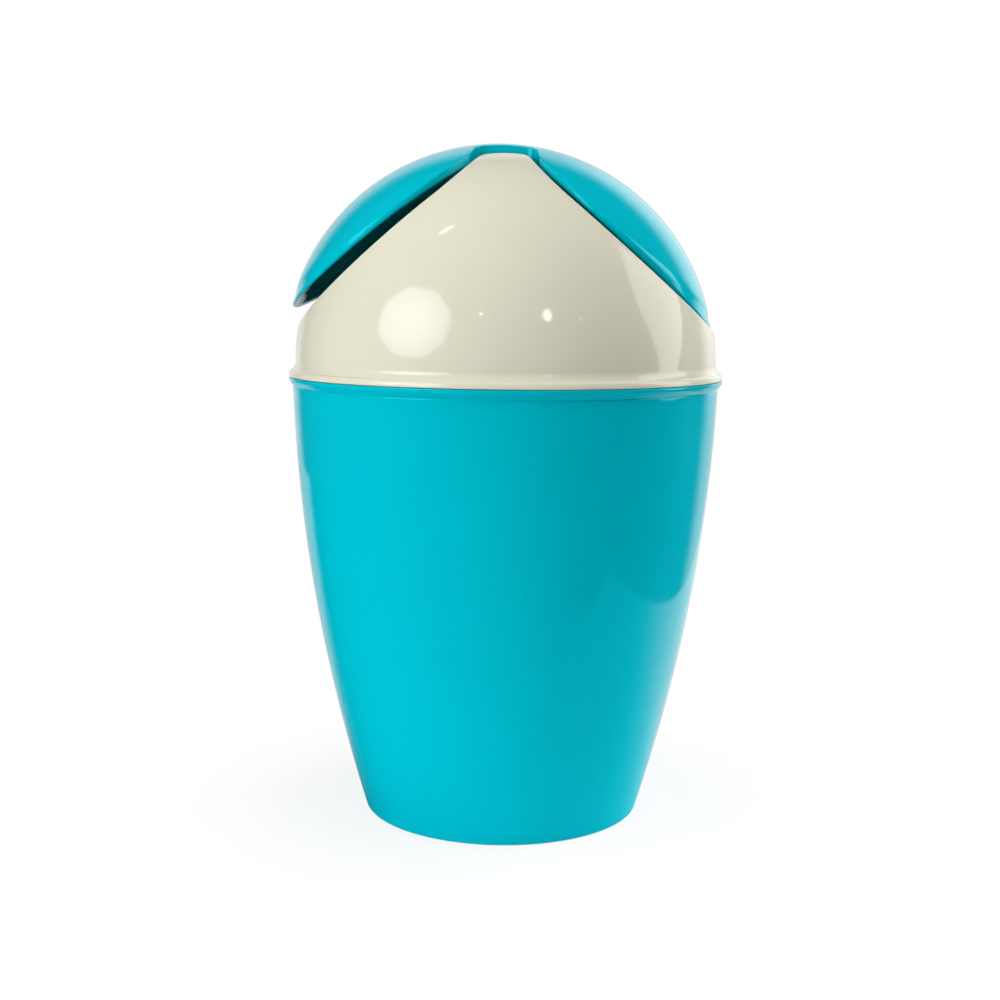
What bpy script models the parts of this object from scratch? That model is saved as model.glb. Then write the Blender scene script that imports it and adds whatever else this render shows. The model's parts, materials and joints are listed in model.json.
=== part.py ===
"""Round swing-top waste bin: a tapering bucket, a domed frame that lifts off it, and a swing lid.

Three mouldings.  The frame is a dome with both shoulders cut away along one straight-sided outline,
which leaves a front and a back panel.  The lid is a larger dome trimmed to two round flaps and the
bridge between them.  A tongue at each end of the bridge hangs on a pin behind each panel.
Metres, +Z up.  The origin is the middle of the base on the floor, the lid turns about Y.
"""

import math

import bmesh
import bpy
from mathutils import Matrix

# Bucket
RIM_HEIGHT = 0.2461
RIM_RADIUS = 0.1210
RIM_OVERHANG = 0.0018
RIM_BEAD_HEIGHT = 0.0055
RIM_LIP_HEIGHT = 0.0011
RIM_CHAMFER = 0.0004
BASE_RADIUS = 0.0782
UPRIGHT_ABOVE_RIM = 0.0229
BUCKET_WALL = 0.0020
FLOOR_THICKNESS = 0.0020
FOOT_RING_WIDTH = 0.0030
FOOT_RECESS = 0.0025
BASE_CORNER = 0.0008
BEAD_CURVE = 1.6

# Frame
SEAT_GAP = 0.0003
FLANGE_WIDTH = 0.0038
FLANGE_LIP_HEIGHT = 0.0036
FLANGE_STEP = 0.0004
DOME_CENTRE_ABOVE_SEAT = 0.0079
DOME_WALL = 0.0020
SKIRT_DEPTH = 0.0100
SKIRT_CLEARANCE = 0.0004
OPENING_HALF_WIDTH = 0.0729
PANEL_SLOPE = math.radians(40.9)
PANEL_GAP_HALF = 0.0257
SHOULDER_HALF = 0.0360
SHOULDER_BEND = 0.0730
CROWN_BEND = 0.0640
CROWN_BLEND = 0.0028

# Hinge
PIVOT_BELOW_CROWN = 0.0166
PIN_RADIUS = 0.0030
PIN_REACH = 0.0021
PIN_ROOT = 0.0080
WEB_THICKNESS = 0.0022
WEB_CLEARANCE = 0.0018
WEB_BITE = 0.0010
WEB_TOP_BELOW_CROWN = 0.0076
WEB_END_RISE = 0.0060
WEB_END_DROP = 0.0060
WEB_DEPTH = 0.0450
HOLE_CLEARANCE = 0.0003
TONGUE_THICKNESS = 0.0025
TONGUE_HALF_WIDTH = 0.0140
TONGUE_END_RADIUS = 0.0090
TONGUE_BITE = 0.0022

# Lid
LID_PROUD = 0.0025
LID_WALL = 0.0020
LID_EDGE_SLOPE = math.radians(38.8)
LID_EDGE_GAP = 0.0006
BRIDGE_DEPTH = 0.0075
BRIDGE_HALF_LENGTH = 0.0158
LOBE_RAMP = 0.0027
LOBE_ROOT = 0.0084
SWING_CLEARANCE = 0.0009
REST_TILT = math.radians(2.3)

# Fineness of the round shapes, and how far a cutter runs past what it cuts
TURN_STEPS = 64
WALL_STEPS = 8
DOME_ARC_STEPS = 15
OUTLINE_STEPS = 26
LOBE_STEPS = 14
BEAD_STEPS = 4
PIN_SIDES = 24
OVERRUN = 0.0100
MERGE_DISTANCE = 0.00001

TURQUOISE = (0.0, 0.46, 0.52, 1.0)
CREAM = (0.66, 0.63, 0.51, 1.0)

# Bucket: places worked out from its sizes
neck_radius = RIM_RADIUS - RIM_OVERHANG
upright_height = RIM_HEIGHT + UPRIGHT_ABOVE_RIM

# Frame: heights are measured from its seat, where its own origin lies
seat_height = RIM_HEIGHT + SEAT_GAP
dome_radius = RIM_RADIUS - FLANGE_WIDTH
dome_inside = dome_radius - DOME_WALL
opening_distance = math.sqrt(dome_inside ** 2 - OPENING_HALF_WIDTH ** 2)
panel_apex = DOME_CENTRE_ABOVE_SEAT + opening_distance / math.cos(PANEL_SLOPE)
panel_crown = DOME_CENTRE_ABOVE_SEAT + math.sqrt(dome_inside ** 2 - PANEL_GAP_HALF ** 2)
pivot_rise = panel_crown - PIVOT_BELOW_CROWN

# Lid: heights are measured from the pivot, where its own origin lies
lid_radius = dome_radius + LID_PROUD
lid_centre = DOME_CENTRE_ABOVE_SEAT - pivot_rise
lid_top = lid_centre + lid_radius
edge_apex = panel_apex + LID_EDGE_GAP - pivot_rise
bridge_half = PANEL_GAP_HALF - SWING_CLEARANCE
bridge_foot = lid_top - BRIDGE_DEPTH
lobe_half = OPENING_HALF_WIDTH - SWING_CLEARANCE
lobe_centre = opening_distance * math.sin(PANEL_SLOPE)


def wall_radius(height):
    """Outer radius of the bucket: a parabola that would stand upright a little above the rim."""
    share = (upright_height - height) / upright_height
    return neck_radius - (neck_radius - BASE_RADIUS) * share ** 2


def spaced(start, end, steps):
    """steps + 1 even values from start to end."""
    return [start + (end - start) * i / steps for i in range(steps + 1)]


def arc(centre, radius, start, end, steps):
    """Points (radius from the axis, height) on an arc; angles are measured up from level."""
    return [(radius * math.cos(a), centre + radius * math.sin(a)) for a in spaced(start, end, steps)]


def panel_edge(x):
    """Height of the frame's cut edge: a straight slope that steepens, rounded over to the crown."""
    reach = max(SHOULDER_HALF - abs(x), 0)
    slope = panel_apex - math.tan(PANEL_SLOPE) * abs(x) + reach ** 2 / (2 * SHOULDER_BEND)
    crown = panel_crown - x ** 2 / (2 * CROWN_BEND)
    overlap = max(CROWN_BLEND - abs(slope - crown), 0) / CROWN_BLEND
    return min(slope, crown) - CROWN_BLEND * overlap ** 2 / 4


def lid_edge(x):
    """Height of the lid's lower edge above the pivot when the lid hangs level."""
    return min(edge_apex - math.tan(LID_EDGE_SLOPE) * abs(x), bridge_foot)


def opening_corner():
    """The lowest point of the frame's opening, inside its wall: distance from the middle and height."""
    turn = math.pi / 2 - PANEL_SLOPE
    half = math.asin(OPENING_HALF_WIDTH / dome_inside)
    low = turn - half
    return dome_inside * math.cos(low), DOME_CENTRE_ABOVE_SEAT + dome_inside * math.sin(low)


def lid_tip():
    """How far the lid reaches: its edge meets the circle that just clears the opening's corner."""
    across, height = opening_corner()
    path = math.hypot(across, height - pivot_rise) - SWING_CLEARANCE
    slope = math.tan(LID_EDGE_SLOPE)
    square = 1 + slope ** 2
    return (slope * edge_apex + math.sqrt(square * path ** 2 - edge_apex ** 2)) / square


def lid_plan(inset):
    """The lid from above, drawn in by inset: a straight bridge that opens by a ramp into two round lobes."""
    wide = lobe_half - inset
    shoulder = lobe_centre - LOBE_ROOT - inset
    outward = lid_tip() - lobe_centre - inset
    foot = BRIDGE_HALF_LENGTH + inset
    start = math.acos((foot + LOBE_RAMP - lobe_centre) / shoulder)
    quarter = [(foot, bridge_half - inset)]
    for angle in spaced(start, 0, LOBE_STEPS + LOBE_STEPS):
        length = outward if angle < math.pi / 2 else shoulder
        quarter.append((lobe_centre + length * math.cos(angle), wide * math.sin(angle)))
    lower = [(x, -y) for x, y in reversed(quarter[:-1])]
    right = quarter + lower
    return right + [(-x, -y) for x, y in right]


parts = bpy.data.collections.new("swing_top_bin")
helpers = bpy.data.collections.new("helpers")


def material(name, colour, roughness):
    """One plain Principled material."""
    made = bpy.data.materials.new(name)
    made.use_nodes = True
    shader = made.node_tree.nodes["Principled BSDF"]
    shader.inputs["Base Color"].default_value = colour
    shader.inputs["Roughness"].default_value = roughness
    shader.inputs["Metallic"].default_value = 0.0
    return made


def mark_helper(piece):
    """A cutter, or a shape that is joined to another: seen as wire and never rendered."""
    piece.hide_render = True
    piece.display_type = "WIRE"
    return piece


def turned(name, profile, collection):
    """A turned solid: its profile in the XZ plane, spun about Z by a Screw modifier."""
    mesh = bpy.data.meshes.new(name)
    edges = [(i, i + 1) for i in range(len(profile) - 1)]
    mesh.from_pydata([(radius, 0, height) for radius, height in profile], edges, [])
    piece = bpy.data.objects.new(name, mesh)
    collection.objects.link(piece)
    screw = piece.modifiers.new("turn", "SCREW")
    screw.axis = "Z"
    screw.angle = 2 * math.pi
    screw.steps = TURN_STEPS
    screw.render_steps = TURN_STEPS
    screw.use_merge_vertices = True
    screw.merge_threshold = MERGE_DISTANCE
    screw.use_smooth_shade = True
    return piece


def prism(name, outline, half_depth, frame):
    """A closed prism: a flat outline as a filled 2D curve, thickened both ways, then made a mesh."""
    curve = bpy.data.curves.new(name, "CURVE")
    curve.dimensions = "2D"
    curve.fill_mode = "BOTH"
    curve.extrude = half_depth
    spline = curve.splines.new("POLY")
    spline.points.add(len(outline) - 1)
    for point, (across, up) in zip(spline.points, outline):
        point.co = (across, up, 0, 1)
    spline.use_cyclic_u = True
    drawn = bpy.data.objects.new(name + "_outline", curve)
    helpers.objects.link(drawn)
    depsgraph = bpy.context.evaluated_depsgraph_get()
    mesh = bpy.data.meshes.new_from_object(drawn.evaluated_get(depsgraph))
    welded = bmesh.new()
    welded.from_mesh(mesh)
    bmesh.ops.remove_doubles(welded, verts=welded.verts, dist=MERGE_DISTANCE)
    bmesh.ops.recalc_face_normals(welded, faces=welded.faces)
    welded.to_mesh(mesh)
    welded.free()
    piece = bpy.data.objects.new(name, mesh)
    piece.matrix_world = frame
    helpers.objects.link(piece)
    bpy.data.objects.remove(drawn)
    bpy.data.curves.remove(curve)
    return mark_helper(piece)


def cylinder(name, radius, low, high):
    """A round bar along Y from low to high."""
    mesh = bpy.data.meshes.new(name)
    made = bmesh.new()
    bmesh.ops.create_cone(made, cap_ends=True, segments=PIN_SIDES, radius1=radius, radius2=radius,
                          depth=abs(high - low), matrix=Matrix.Rotation(math.pi / 2, 4, "X"))
    made.to_mesh(mesh)
    made.free()
    piece = bpy.data.objects.new(name, mesh)
    piece.location = (0, (low + high) / 2, 0)
    helpers.objects.link(piece)
    return mark_helper(piece)


def combine(piece, other, operation):
    """One exact Boolean step on a piece."""
    step = piece.modifiers.new(operation.lower() + "_" + other.name, "BOOLEAN")
    step.operation = operation
    step.object = other
    step.solver = "EXACT"


def stand_on(piece, carrier):
    """Hang a piece on its carrier, so that its own place is measured from the carrier's origin."""
    piece.parent = carrier
    return piece


# Local X and Y of a flat outline laid in the part's XZ plane and in its YZ plane
along_y = Matrix.Rotation(math.pi / 2, 4, "X")
along_x = Matrix(((0, 0, 1, 0), (1, 0, 0, 0), (0, 1, 0, 0), (0, 0, 0, 1)))


def make_bucket():
    """The bucket: curved taper, thickened rim bead, flat floor raised inside a foot ring."""
    floor_top = FOOT_RECESS + FLOOR_THICKNESS
    bead_foot = RIM_HEIGHT - RIM_BEAD_HEIGHT
    bead_top = RIM_HEIGHT - RIM_LIP_HEIGHT
    inside = [(wall_radius(z) - BUCKET_WALL, z) for z in spaced(floor_top, RIM_HEIGHT, WALL_STEPS)]
    rim = [(RIM_RADIUS - RIM_CHAMFER, RIM_HEIGHT), (RIM_RADIUS, RIM_HEIGHT - RIM_CHAMFER)]
    bead = []
    for z in spaced(bead_top, bead_foot, BEAD_STEPS):
        share = (z - bead_foot) / (bead_top - bead_foot)
        bead.append((wall_radius(z) + (RIM_RADIUS - wall_radius(z)) * share ** BEAD_CURVE, z))
    outside = [(wall_radius(z), z) for z in spaced(bead_foot, BASE_CORNER, WALL_STEPS)][1:]
    ring_inside = BASE_RADIUS - FOOT_RING_WIDTH
    foot = [(wall_radius(0) - BASE_CORNER, 0), (ring_inside, 0), (ring_inside, FOOT_RECESS), (0, FOOT_RECESS)]
    return turned("bucket", [(0, floor_top)] + inside + rim + bead + outside + foot, parts)


def make_frame():
    """The frame: domed shell on a flange and a locating skirt, cut to two panels, with its pins."""
    centre = DOME_CENTRE_ABOVE_SEAT
    dome = arc(centre, dome_radius, math.pi / 2, 0, DOME_ARC_STEPS)
    cove_top = RIM_RADIUS - FLANGE_STEP
    cove = []
    for z in spaced(centre, FLANGE_LIP_HEIGHT, BEAD_STEPS)[1:]:
        share = (centre - z) / (centre - FLANGE_LIP_HEIGHT)
        cove.append((dome_radius + (cove_top - dome_radius) * share ** 2, z))
    flange = [(RIM_RADIUS, FLANGE_LIP_HEIGHT), (RIM_RADIUS, 0)]
    skirt_radius = wall_radius(seat_height - SKIRT_DEPTH) - BUCKET_WALL - SKIRT_CLEARANCE
    skirt_inside = skirt_radius - DOME_WALL
    skirt = [(skirt_radius, 0), (skirt_radius, -SKIRT_DEPTH), (skirt_inside, -SKIRT_DEPTH), (skirt_inside, 0)]
    inside = arc(centre, dome_inside, 0, math.pi / 2, DOME_ARC_STEPS)
    frame = turned("dome_frame", dome + cove + flange + skirt + inside, parts)

    far = dome_radius + OVERRUN
    edge = [(x, panel_edge(x)) for x in spaced(-far, far, OUTLINE_STEPS + OUTLINE_STEPS)]
    sky = DOME_CENTRE_ABOVE_SEAT + far
    cut = prism("shoulder_cut", edge + [(far, sky), (-far, sky)], far, along_y)
    combine(frame, stand_on(cut, frame), "DIFFERENCE")

    end = bridge_half + WEB_CLEARANCE
    for side, name in ((-1, "front"), (1, "back")):
        web = stand_on(prism(name + "_web", web_outline(side, end), WEB_THICKNESS / 2, along_x), frame)
        combine(frame, web, "UNION")
        pin = cylinder(name + "_pin", PIN_RADIUS, side * pin_end(), side * (end + PIN_ROOT))
        stand_on(pin, frame).location.z = pivot_rise
        combine(frame, pin, "UNION")
    return frame


def pin_end():
    """How close to the middle a pin reaches: through the tongue and a little past it."""
    return bridge_half - TONGUE_THICKNESS - PIN_REACH


def web_outline(side, end):
    """A web from the side: a long gusset under the panel whose inner end carries the pin."""
    top = panel_crown - WEB_TOP_BELOW_CROWN
    foot = top - WEB_DEPTH
    bite = dome_inside + WEB_BITE
    rise = [math.asin((z - DOME_CENTRE_ABOVE_SEAT) / bite) for z in (foot, top)]
    wall = arc(DOME_CENTRE_ABOVE_SEAT, bite, rise[0], rise[1], LOBE_STEPS)
    nose = [(end, pivot_rise + WEB_END_RISE), (end, pivot_rise - WEB_END_DROP)]
    return [(side * y, z) for y, z in wall + nose]


def make_lid():
    """The lid: a dome trimmed to its plan and its lower edge, hollowed, with two hinge tongues."""
    low = math.asin(OVERRUN / lid_radius)
    outer = arc(lid_centre, lid_radius, math.pi / 2, low, DOME_ARC_STEPS)
    lid = turned("swing_lid", outer + [(0, outer[-1][1])], parts)
    plan = prism("lid_plan", lid_plan(0), 2 * lid_radius, Matrix.Identity(4))
    combine(lid, stand_on(plan, lid), "INTERSECT")

    inner = arc(lid_centre, lid_radius - LID_WALL, math.pi / 2, 0, DOME_ARC_STEPS)
    hollow = mark_helper(turned("lid_hollow", inner + [(0, inner[-1][1])], helpers))
    inset = prism("lid_inset", lid_plan(LID_WALL), 2 * lid_radius, Matrix.Identity(4))
    combine(hollow, stand_on(inset, hollow), "INTERSECT")
    combine(lid, stand_on(hollow, lid), "DIFFERENCE")

    far = lid_radius + OVERRUN
    knee = max(edge_apex - bridge_foot, 0) / math.tan(LID_EDGE_SLOPE)
    edge = sorted({(x, lid_edge(x)) for x in (-far, -knee, knee, far)})
    under = min(lid_edge(far), lid_centre) - OVERRUN
    below = prism("lid_edge_cut", edge + [(far, under), (-far, under)], far, along_y)
    combine(lid, stand_on(below, lid), "DIFFERENCE")

    for end, name in ((-1, "front"), (1, "back")):
        tongue = prism(name + "_tongue", tongue_outline(), TONGUE_THICKNESS / 2, along_y)
        tongue.location.y = end * (bridge_half - TONGUE_THICKNESS / 2)
        combine(lid, stand_on(tongue, lid), "UNION")
    reach = bridge_half + OVERRUN
    hole = cylinder("pin_holes", PIN_RADIUS + HOLE_CLEARANCE, -reach, reach)
    combine(lid, stand_on(hole, lid), "DIFFERENCE")
    return lid


def tongue_outline():
    """A tongue from the front: nearly as wide as the bridge is long, tapering to a round end."""
    top = bridge_foot + TONGUE_BITE
    taper = math.atan2(TONGUE_HALF_WIDTH - TONGUE_END_RADIUS, bridge_foot)
    end = arc(0, TONGUE_END_RADIUS, taper, -math.pi - taper, LOBE_STEPS)
    half = TONGUE_HALF_WIDTH
    return [(-half, bridge_foot), (-half, top), (half, top), (half, bridge_foot)] + end


def main():
    """Clear the scene and build the bin."""
    for old in list(bpy.data.objects):
        bpy.data.objects.remove(old, do_unlink=True)
    for group in (parts, helpers):
        bpy.context.scene.collection.children.link(group)

    turquoise = material("turquoise_plastic", TURQUOISE, 0.22)
    cream = material("cream_plastic", CREAM, 0.25)

    bucket = make_bucket()
    bucket.data.materials.append(turquoise)

    frame = make_frame()
    frame.data.materials.append(cream)
    frame.location.z = seat_height

    pivot = bpy.data.objects.new("lid_pivot", None)
    pivot.location.z = seat_height + pivot_rise
    pivot.rotation_euler.y = REST_TILT
    parts.objects.link(pivot)
    lid = make_lid()
    lid.data.materials.append(turquoise)
    lid.parent = pivot
    bpy.context.view_layer.update()


main()
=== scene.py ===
"""Round swing-top waste bin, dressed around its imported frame.

Three glossy injection mouldings: a turquoise bucket, a cream domed frame that lifts off it, and a
turquoise swing lid on two pins behind the frame's panels.  Metres, +Z up, the origin is the middle
of the base on the floor, and the photographed side faces -Y.  Each surface is a grid of points worked
out with numpy from the same sizes as the CAD, so every piece stays where its node is.
"""

import json
import math

import bmesh
import bpy
import numpy as np
from mathutils import Matrix, Vector


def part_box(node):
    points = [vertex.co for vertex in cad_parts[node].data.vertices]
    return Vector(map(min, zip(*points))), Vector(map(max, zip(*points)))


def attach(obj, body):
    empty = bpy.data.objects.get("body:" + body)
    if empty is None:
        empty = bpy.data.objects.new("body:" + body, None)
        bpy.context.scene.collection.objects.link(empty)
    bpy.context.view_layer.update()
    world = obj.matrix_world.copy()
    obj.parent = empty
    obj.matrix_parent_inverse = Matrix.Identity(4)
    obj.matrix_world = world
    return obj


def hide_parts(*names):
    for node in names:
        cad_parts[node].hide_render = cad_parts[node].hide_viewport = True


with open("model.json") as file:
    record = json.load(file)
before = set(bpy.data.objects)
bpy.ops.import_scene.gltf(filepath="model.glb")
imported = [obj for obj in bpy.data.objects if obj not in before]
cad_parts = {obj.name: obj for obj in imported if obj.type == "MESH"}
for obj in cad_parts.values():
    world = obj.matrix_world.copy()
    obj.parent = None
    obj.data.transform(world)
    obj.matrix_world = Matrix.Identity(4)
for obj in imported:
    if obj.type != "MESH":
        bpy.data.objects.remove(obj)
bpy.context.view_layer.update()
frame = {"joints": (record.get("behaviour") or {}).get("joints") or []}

# Bucket sizes
BUCKET_WALL = 0.0020
RIM_OVERHANG = 0.0018
RIM_LIP_HEIGHT = 0.0018
RIM_BEAD_HEIGHT = 0.0045
RIM_ROUND = 0.0005
RIM_GROOVE = 0.0003
RIM_GROOVE_HEIGHT = 0.0005
BASE_RADIUS = 0.0782
UPRIGHT_ABOVE_RIM = 0.0229
FLOOR_THICKNESS = 0.0020
FOOT_RING_WIDTH = 0.0030
FOOT_RECESS = 0.0025
BASE_CORNER = 0.0008
FLOOR_FILLET = 0.0040
SMALL_ROUND = 0.0005

# Frame sizes
FLANGE_WIDTH = 0.0038
FLANGE_STEP_HEIGHT = 0.0034
FLANGE_STEP = 0.0002
COVE_REACH = 0.0020
COVE_BEND_POWER = 1.7
FLANGE_EDGE_HEIGHT = 0.0005
FLANGE_EDGE_ROUND = 0.00035
DOME_CENTRE_ABOVE_SEAT = 0.0079
DOME_WALL = 0.0020
SKIRT_DEPTH = 0.0100
SKIRT_CLEARANCE = 0.0004
OPENING_HALF_WIDTH = 0.0729
PANEL_SLOPE = math.radians(40.9)
PANEL_GAP_HALF = 0.0257
SHOULDER_HALF = 0.0360
SHOULDER_BEND = 0.0730
CROWN_BEND = 0.0640
CROWN_BLEND = 0.0028
EDGE_ROUND = 0.0005

# Hinge sizes
PIN_RADIUS = 0.0030
PIN_REACH = 0.0021
PIN_ROOT = 0.0080
PIN_CHAMFER = 0.0006
PIN_EDGE_ROUND = 0.0003
WEB_THICKNESS = 0.0022
WEB_CLEARANCE = 0.0018
WEB_BITE = 0.0010
WEB_TOP_BELOW_CROWN = 0.0076
WEB_END_RISE = 0.0060
WEB_END_DROP = 0.0060
WEB_DEPTH = 0.0450
WEB_CORNER = 0.0015
HOLE_CLEARANCE = 0.0003
TONGUE_THICKNESS = 0.0025
TONGUE_INSET = 0.0001
TONGUE_HALF_WIDTH = 0.0140
TONGUE_END_RADIUS = 0.0090
TONGUE_BITE = 0.0022
TONGUE_CORNER = 0.0010
PLATE_ROUND = 0.0004

# Lid sizes
LID_PROUD = 0.0025
LID_WALL = 0.0020
LID_EDGE_SLOPE = math.radians(38.8)
LID_EDGE_GAP = 0.0006
BRIDGE_DEPTH = 0.0075
BRIDGE_HALF_LENGTH = 0.0158
BRIDGE_CORNER = 0.0070
LOBE_RAMP = 0.0027
LOBE_ROOT = 0.0084
LOBE_CORNER = 0.0016
LOBE_POINT_POWER = 1.12
SWING_CLEARANCE = 0.0009
REST_TILT = math.radians(2.3)
CREASE_ROUND = 0.0021
CREASE_AT_BRIDGE_SHARE = 0.35
CREASE_HEIGHT_SHARE = 0.30
INNER_CREASE_ROUND = 0.0010
LIP_ROUND = 0.0009
LIP_INNER_ROUND = 0.0003
LIP_RISE = 0.0042
LIP_RISE_RUN = 0.0350
LIP_DEPTH = 0.0016
LIP_HEIGHT_SHARE = 0.45
TIP_FLARE = 0.0016
TIP_FLARE_FROM = 0.0900
TIP_FLARE_FULL = 0.1130
TIP_EXTRA = 0.0008
FLARE_BEND_POWER = 1.15
EDGE_SAG = 0.0006
SAG_PLACE = 0.0880
SAG_HALF = 0.0320
KNEE_BLEND = 0.0012

# The lid's middle line, where its rows end: further out it is drawn back by a share of a parabola
MIDDLE_FROM = 0.0500
MIDDLE_BEND = 0.0660
MIDDLE_BACK_SHARE = 0.7
MIDDLE_CROWDING_POWER = 1.4

# Polypropylene: sRGB colours, gloss, and the size and depth of what moulding leaves in the surface
TURQUOISE = "00BFD1"
TURQUOISE_DEEPER = "00BBCD"
TURQUOISE_GLOSS = "50F2FF"
CREAM = "E2DFCB"
CREAM_DEEPER = "DFDCC7"
WHITE = "FFFFFF"
PLASTIC_IOR = 1.49
PLASTIC_ROUGHNESS = 0.07
ROUGHNESS_SHARES = (0.85, 1.20)
DRIFT_SPACING = 0.0450
HAZE_SPACING = 0.0120
SHRINK_SPACING = 0.0300
SHRINK_DEPTH = 0.00006
PEEL_SPACING = 0.0022
PEEL_DEPTH = 0.0000010

# Marks in the cream plastic: real specks, the web's sink, and a patch of painted shade on the front panel's
# crown under the lid's bridge
# The grey is used both for the real specks and for the patch of painted shade
SPECK_AND_SHADE_COLOUR = "6F6D64"
SPECK_SPACING = 0.0130
SPECK_RADIUS = 0.00028
SPECK_SHARE = 0.40
SPECK_DARKNESS_SHARE = 0.35
# A patch of painted shade: the front panel's crown darkened where the lid's bridge shades it
SHADE_PATCH_PLACE = (0.0010, -0.0290, 0.3670)
SHADE_PATCH_RADIUS = 0.0035
SHADE_PATCH_SHARE = 0.12
SINK_HALF_WIDTH = 0.0024
SINK_BELOW_PIVOT = 0.0135
SINK_HALF_HEIGHT = 0.0260
SINK_DEPTH = 0.00004

# Floor: a sheet of paper that the camera sees only where the object's shadow lies
FLOOR_HALF = 0.45
FLOOR_DROP = 0.0004
PAPER_ROUGHNESS = 0.9
PAPER_GLOW = 0.05
SHADOW_FULL_WITHIN = 0.08
SHADOW_GONE_BEYOND = 0.20
SHADOW_CLEAR_SHARE = 0.82

# Table top, seen only in the gloss: a glowing sheet of painted light, lit beyond a slanting line, brighter to
# the right, with painted cyan bounce light from the bin in front
TABLE_CORNERS = ((-0.90, -0.24), (0.40, 1.60))
TABLE_DROP = 0.0008
# Cyan of the painted bounce light from the bin
TABLE_BOUNCE_TINT = "40F4FF"
TABLE_SLANT = 0.85
TABLE_LIT_FROM = -0.13
TABLE_LIT_TO = 0.02
TABLE_LIT_LEVEL = 0.66
TABLE_RIGHT_FROM = -0.10
TABLE_RIGHT_TO = 0.42
TABLE_RIGHT_LEVEL = 0.40
TABLE_BOUNCE_FROM = -0.06
TABLE_BOUNCE_TO = 0.10

# World: the cosines that bound the white backdrop and its brightest patch, and their levels
EVEN_LEVEL = 0.08
ROOM_LEVEL = 0.02
BACKDROP_LEVEL = 0.80
BACKDROP_TOWARDS = (0.05, 1.0, 0.0)
BACKDROP_FROM = 0.68
BACKDROP_TO = 0.85
PATCH_GAIN = 1.6
PATCH_TOWARDS = (0.475, 0.824, 0.309)
PATCH_FROM = 0.90
PATCH_TO = 0.985

# Lamps that show in the gloss: name, material, level, the share by which it falls towards the edge, place,
# target, corners, first corner's turn in degrees, and the half axes of the ellipse that the corners lie on
GLOWING_LAMPS = (
    ("softbox", "softbox_cloth", 5.8, 0.40, (-0.824, -0.783, 0.650), (-0.04, -0.10, 0.28),
     8, 22.5, 0.45, 0.365),
    ("oval_lamp", "lamp_glass", 14, 0.30, (0.460, -0.997, 0.770), (0.026, -0.111, 0.282),
     24, 0, 0.050, 0.065),
    ("strip_lamp", "strip_cloth", 8, 0, (-0.477, -0.242, 1.315), (-0.03, -0.10, 0.30),
     4, 45, 0.0254558, 0.0919239),
    ("spark_left", "spark_glass_left", 16, 0, (-0.1770, -0.9890, 0.7350), (-0.006, -0.114, 0.283),
     24, 0, 0.016, 0.016),
    ("spark_right", "spark_glass_right", 8, 0, (0.6960, -0.7530, 0.6730), (0.042, -0.106, 0.281),
     24, 0, 0.016, 0.016),
)
EVEN_GLOW_SHARE = 0.2

# The tall pale wall panel on the right: its level, its distance and its corners as (y, z)
SIDE_PANEL_LEVEL = 2.5
SIDE_PANEL_X = 1.3
SIDE_PANEL_CORNERS = ((0.70, 0.85), (0.55, 0.60), (0.24, 0.14), (0.00, 0.14), (-0.16, 0.60),
                      (-0.21, 0.80), (-0.20, 0.95), (-0.09, 1.23), (0.08, 1.45), (0.12, 1.69))

# Soft fills that show in no reflection: name, place, target, width, height and watts
FILL_LAMPS = (
    ("left_fill", (-1.20, -0.75, 0.12), (0, 0, 0.15), 0.9, 0.5, 6.3),
    ("right_fill", (1.06, 0.56, 0.42), (0, 0, 0.25), 0.6, 0.9, 10.5),
    ("top_fill", (0.0, -0.05, 1.80), (0, 0, 0.35), 1.0, 1.0, 3.0),
    ("front_fill", (0.60, -0.60, 1.75), (0, 0, 0.30), 0.8, 0.8, 6.2),
    ("left_top_fill", (-0.90, -0.30, 1.40), (0, 0, 0.30), 0.8, 0.8, 1.0),
    ("right_top_fill", (0.90, -0.20, 1.40), (0, 0, 0.30), 0.8, 0.8, 5.4),
    ("high_front_fill", (0.0, -1.10, 1.30), (0, 0, 0.30), 0.8, 0.8, 2.2),
)

# Camera
CAMERA_PLACE = (0.0443, -0.8335, 0.2919)
CAMERA_TURN = math.radians(3.2)
CAMERA_TILT = math.radians(90 - 7.92)
CAMERA_ROLL = math.radians(0.605)
LENS_MM = 53.13
SENSOR_MM = 36.0

# Fineness
TURNS = 288
WALL_ROWS = 64
FLANGE_ROWS = 12
DOME_ROWS = 56
INSIDE_ROWS = 36
ROUND_ROWS = 4
EDGE_STATIONS = 240
FINE_STATIONS = 6000
CORNER_PLACE = 0.012
CORNER_SPREAD = 0.007
CORNER_CROWDING = 2.5
PIN_TURNS = 48
WEB_WALL_POINTS = 30
WEB_STEPS = 150
TONGUE_END_POINTS = 60
TONGUE_STEPS = 130
OUTLINE_STEPS = (14, 10, 10, 8, 104)
OUTLINE_CORNER_ROWS = 40
LOBE_POINTS = 800
TANGENT_ANGLE = 0.001
LID_TOP_ROWS = 38
LID_UNDER_ROWS = 30
CREASE_ROWS = 6
LID_SKIRT_POINTS = 13
LIP_ROWS = 7
MERGE_DISTANCE = 0.000002

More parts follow.
